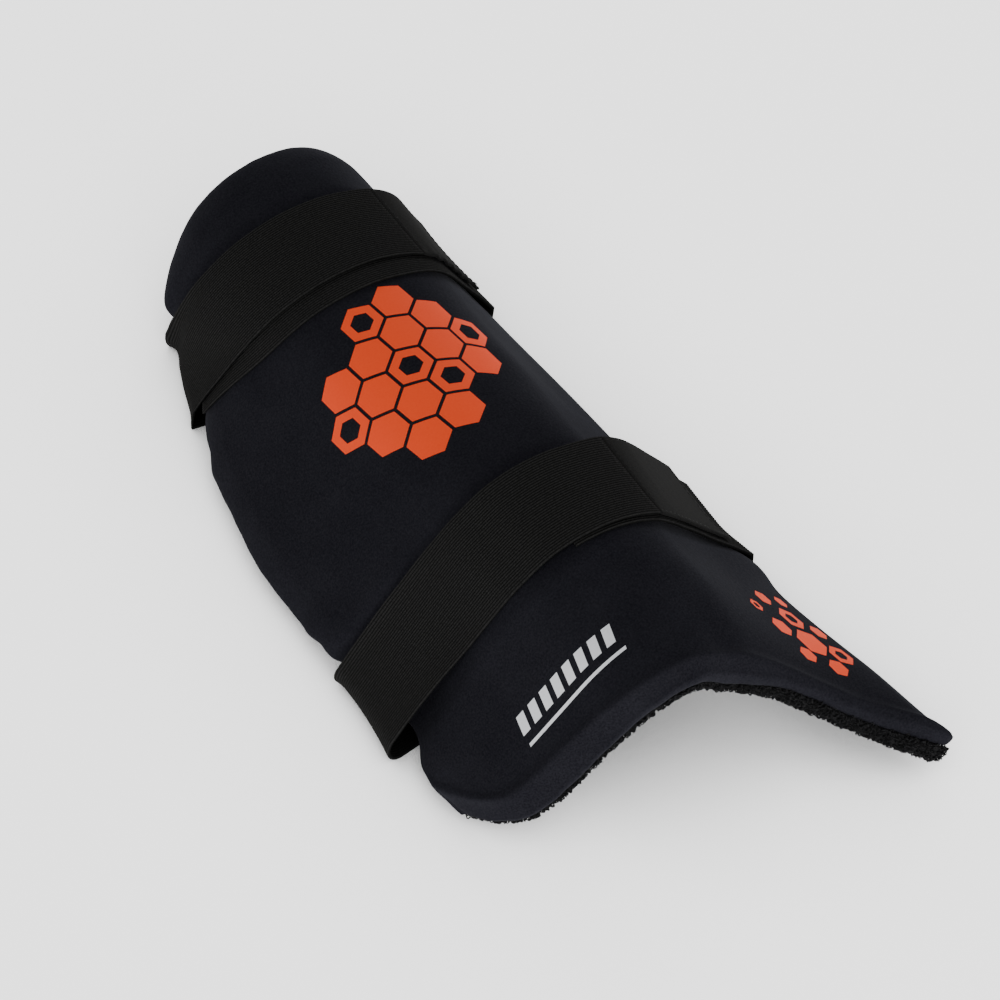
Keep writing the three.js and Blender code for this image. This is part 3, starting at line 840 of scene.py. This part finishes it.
def stitchTree(material, stitch):
    tree, start, end = nodeTree("stitchRow", {"Pitch": ("Float", hookTab["stitchPitch"] * mm)})
    path = addNode(tree, "GeometryNodeMeshToCurve", {"Mesh": start.outputs[0]})
    even = addNode(tree, "GeometryNodeResampleCurve",
                   {"Curve": path.outputs[0], "Length": start.outputs["Pitch"]}, mode="LENGTH")
    heading = addNode(tree, "GeometryNodeInputTangent")
    aligned = addNode(tree, "FunctionNodeAlignRotationToVector", {"Vector": heading.outputs[0]}, axis="X")
    shape = addNode(tree, "GeometryNodeObjectInfo", Object=stitch)
    placed = addNode(tree, "GeometryNodeInstanceOnPoints", {
        "Points": even.outputs[0], "Instance": shape.outputs["Geometry"], "Rotation": aligned.outputs[0]})
    paintAndEnd(tree, end, placed.outputs[0], material)
    return tree


def threadFinish():
    material, tree, shader = newMaterial("blackThread")
    place = addNode(tree, "ShaderNodeTexCoord").outputs["Object"]
    twoTones(tree, shader, noise(tree, place, thread["twist"], 2.0), thread)
    setInputs(shader, thread["look"])
    return material


def stitchRows(name, strap):
    inset, far = hookTab["inset"], strapForm["width"] - hookTab["inset"]
    margin = hookTab["rowMargin"] / flank
    first, last = strap["seam"] + margin, strap["tabEnd"] - margin
    along, across = frontRun(first, last), np.linspace(inset, far, hookTab["crossSteps"])
    rows = [[(s, inset) for s in along], [(s, far) for s in along],
            [(first, w) for w in across], [(last, w) for w in across]]
    pucker = puckerOf(name)
    points, edges = [], []
    for row in rows:
        base = len(points)
        for s, w in row:
            y = strap["low"] + driftAt(strap, s) + w
            middle, outward = frontStation(strap, np.array(s), np.array(y), 1)
            run = (s - strap["seam"]) * flank
            lift = strapForm["thick"] / 2 + (float(pucker(s, run, w / strapForm["width"])) if pucker else 0)
            points.append(middle + outward * lift)
        edges += [(base + k, base + k + 1) for k in range(len(row) - 1)]
    mesh = bpy.data.meshes.new(name + "_tab_stitches")
    mesh.from_pydata((np.array(points) * mm).tolist(), edges, [])
    return addObject(name + "_tab_stitches", mesh)


stitchSeed = stitchShape()
stitchMaker = stitchTree(threadFinish(), stitchSeed)
for name, strap in straps.items():
    rows = runTree(stitchRows(name, strap), stitchMaker, Pitch=hookTab["stitchPitch"] * mm)
    dress(rows)
    print(rows.name, len(rows.data.polygons), "faces")
bpy.data.objects.remove(stitchSeed)

# prints: heat-pressed shapes that follow the cover
prints = {
    "lift": 0.06, "thick": 0.25, "sharpAngle": 0.7,
    "orange": {"dark": (0.97, 0.072, 0.015), "light": (1.0, 0.084, 0.019), "tones": (0.2, 0.8)},
    "white": {"dark": (0.74, 0.75, 0.78), "light": (0.82, 0.83, 0.86), "tones": (0.2, 0.8)},
    "look": {"Roughness": 0.62, "Specular IOR Level": 0.1}, "grain": 900.0, "bump": 0.35, "bumpDepth": 0.08,
    "crownAt": (-9, 213), "crownTurn": 0.15, "rings": 2, "cell": 11, "cellGap": 1.7, "cellParts": 5,
    "hollow": ((0, 0), (1, -1), (-1, 2), (-2, 0), (2, 0)), "missing": ((-2, 2), (2, -2)), "hole": 0.55,
    "barsAt": (-80, 33), "bars": 8, "barPitch": 7.6, "bar": (4.6, 9, 3, 4),  # length, height, slant, parts
    "lineAt": (-1, -6), "line": (60, 1.6, 0.6, 24),
    "flankAt": (91, 10), "flankHole": 0.5, "flankParts": 4,
    "flankCells": ((0, 0, 9), (4, 17, 7.5), (-13, 10, 6), (-12, -8, 5), (13, -9, 7), (2, -17, 5.5),
                   (-3, 31, 5), (-18, 24, 4), (12, 30, 4), (16, 8, 5)),  # place and radius
}


def printFinish(name, colors):
    material, tree, shader = newMaterial(name)
    place = addNode(tree, "ShaderNodeTexCoord").outputs["Object"]
    grain = noise(tree, place, prints["grain"], 3.0)
    twoTones(tree, shader, grain, colors)
    setInputs(shader, prints["look"])
    addBump(tree, shader, grain, prints["bump"], prints["bumpDepth"])
    return material


def onCover(points, lift):  # flat points in millimetres round the arch and along it
    s, y = points[:, 0] / flank, points[:, 1]
    return archPoint(s, y, bevelDrop(s, y) - coverShape(s, y) - lift)


def hexagon(centre, radius, turn, parts, hole=0):  # six fans of quads, or a hexagonal ring
    points, faces = [], []
    middle = np.array(centre)
    angles = [turn + k * math.pi / 3 for k in range(6)]
    corners = [middle + radius * np.array([math.cos(angle), math.sin(angle)]) for angle in angles]
    for k in range(6):
        a, b = corners[k], corners[(k + 1) % 6]
        faces += gridFaces(parts + 1, parts + 1, start=len(points))
        for t in np.linspace(hole, 1, parts + 1):
            for w in np.linspace(0, 1, parts + 1):
                points.append(middle + t * (a + (b - a) * w - middle))
    return points, faces


def bar(corner, length, height, slant, parts):
    steps = [k / parts for k in range(parts + 1)]
    points = [(corner[0] + length * i + slant * j, corner[1] + height * j) for i in steps for j in steps]
    return points, gridFaces(parts + 1, parts + 1)


def printPiece(name, shapes, material):
    points, faces = [], []
    for shapePoints, shapeFaces in shapes:
        faces += [[len(points) + k for k in face] for face in shapeFaces]
        points += [tuple(p) for p in shapePoints]
    flat = np.array(points)
    top, under = onCover(flat, prints["lift"]), onCover(flat, prints["lift"] - prints["thick"])
    rounded = [(round(x, 3), round(y, 3)) for x, y in flat]
    edgeUse = {}
    for face in faces:
        for a, b in zip(face, face[1:] + face[:1]):
            edgeUse.setdefault((rounded[a], rounded[b]), (a, b))
    size = len(flat)
    walls = [[b, a, a + size, b + size] for (start, end), (a, b) in edgeUse.items()
             if start != end and (end, start) not in edgeUse]
    whole = faces + [[k + size for k in face[::-1]] for face in faces] + walls
    piece = meshObject(name, np.concatenate([top, under]), whole)
    piece.data.set_sharp_from_angle(angle=prints["sharpAngle"])
    piece.data.materials.append(material)
    return dress(piece)


def crownShapes():  # a honeycomb
    pitch, turn = prints["cell"] * math.sqrt(3) + prints["cellGap"], prints["crownTurn"]
    at, rings, shapes = prints["crownAt"], prints["rings"], []
    for q in range(-rings, rings + 1):
        for r in range(-rings, rings + 1):
            if abs(q + r) > rings or (q, r) in prints["missing"]:
                continue
            x, y = pitch * (q + r / 2), pitch * r * math.sqrt(3) / 2
            centre = (at[0] + x * math.cos(turn) - y * math.sin(turn),
                      at[1] + x * math.sin(turn) + y * math.cos(turn))
            hole = prints["hole"] if (q, r) in prints["hollow"] else 0
            shapes.append(hexagon(centre, prints["cell"], turn + math.pi / 6, prints["cellParts"], hole))
    return shapes


def barShapes():
    x, y = prints["barsAt"]
    shapes = [bar((x + prints["barPitch"] * k, y), *prints["bar"]) for k in range(prints["bars"])]
    shapes.append(bar((x + prints["lineAt"][0], y + prints["lineAt"][1]), *prints["line"]))
    return shapes


def flankShapes():
    x, y = prints["flankAt"]
    turn = prints["crownTurn"] + math.pi / 6
    shapes = []
    for k, (dx, dy, radius) in enumerate(prints["flankCells"]):
        hole = prints["flankHole"] if k % 3 == 1 else 0
        shapes.append(hexagon((x + dx, y + dy), radius, turn, prints["flankParts"], hole))
    return shapes


orange, white = printFinish("orangePrint", prints["orange"]), printFinish("whitePrint", prints["white"])
printPiece("crown_print", crownShapes(), orange)
printPiece("flank_print", flankShapes(), orange)
printPiece("bar_print", barShapes(), white)
print("prints done")

# studio: pale floor, soft light, camera
studio = {
    "target": (-0.01673, 0.03378, 0.040), "azimuth": -31.73, "elevation": 55.65, "distance": 2.3855,
    "aim": (0.0324, -0.0202), "lens": 181.67, "sensor": 36, "world": 0.36, "floorHalf": 6,
    "floor": {"Base Color": (0.52, 0.52, 0.52, 1), "Emission Color": (1, 1, 1, 1), "Roughness": 1,
              "Specular IOR Level": 0},
    "shadeReach": 0.1, "shadeSamples": 3,  # the floor glows, less where ambient occlusion finds the pad near: painted contact shadow
    "glow": {"From Min": 0.41, "From Max": 0.8, "To Max": 2.03},
    "lights": (("front_soft", (-0.2, -2.7, 0.9), 1.4, 50), ("left_soft", (-2.0, -1.0, 1.4), 1.4, 15),
               ("back_soft", (1.4, 1.5, 1.2), 1.2, 20)),  # place, size, power
}


def makeStudio():
    a, e = math.radians(studio["azimuth"]), math.radians(studio["elevation"])
    back = Vector((math.sin(a) * math.cos(e), -math.cos(a) * math.cos(e), math.sin(e)))
    right = Vector((math.cos(a), math.sin(a), 0))
    up = back.cross(right)
    target = Vector(studio["target"])
    eye = target + back * studio["distance"]
    aim = target + right * studio["aim"][0] + up * studio["aim"][1]
    camera = addObject("photo_camera", bpy.data.cameras.new("photo_camera"))
    camera.data.lens, camera.data.sensor_width = studio["lens"], studio["sensor"]
    camera.location = eye
    level = Matrix((right, up, back)).transposed().to_quaternion()
    camera.rotation_euler = ((-back).rotation_difference(aim - eye) @ level).to_euler()
    bpy.context.scene.camera = camera
    mesh, half = bpy.data.meshes.new("pale_floor"), studio["floorHalf"]
    corners = [(-half, -half, 0), (half, -half, 0), (half, half, 0), (-half, half, 0)]
    mesh.from_pydata(corners, [], [(0, 1, 2, 3)])
    floor = addObject("pale_floor", mesh)
    material, tree, shader = newMaterial("paleFloor")
    setInputs(shader, studio["floor"])
    # the evenly bright floor's glow is cut by ambient occlusion near the pad: painted contact shadow
    shade = addNode(tree, "ShaderNodeAmbientOcclusion", samples=studio["shadeSamples"],
                    Distance=studio["shadeReach"])
    glow = addNode(tree, "ShaderNodeMapRange", {"Value": shade.outputs["AO"]},
                   interpolation_type="SMOOTHSTEP")
    setInputs(glow, studio["glow"])
    tree.links.new(glow.outputs["Result"], shader.inputs["Emission Strength"])
    mesh.materials.append(material)
    world = bpy.data.worlds.new("studioWorld")
    world.use_nodes = True
    setInputs(world.node_tree.nodes["Background"], {"Color": (1, 1, 1, 1), "Strength": studio["world"]})
    bpy.context.scene.world = world
    for name, place, size, power in studio["lights"]:
        light = addObject(name, bpy.data.lights.new(name, "AREA"))
        light.data.size, light.data.energy = size, power
        light.location = place
        light.rotation_euler = (target - Vector(place)).to_track_quat("-Z", "Y").to_euler()


makeStudio()
print("studio done")
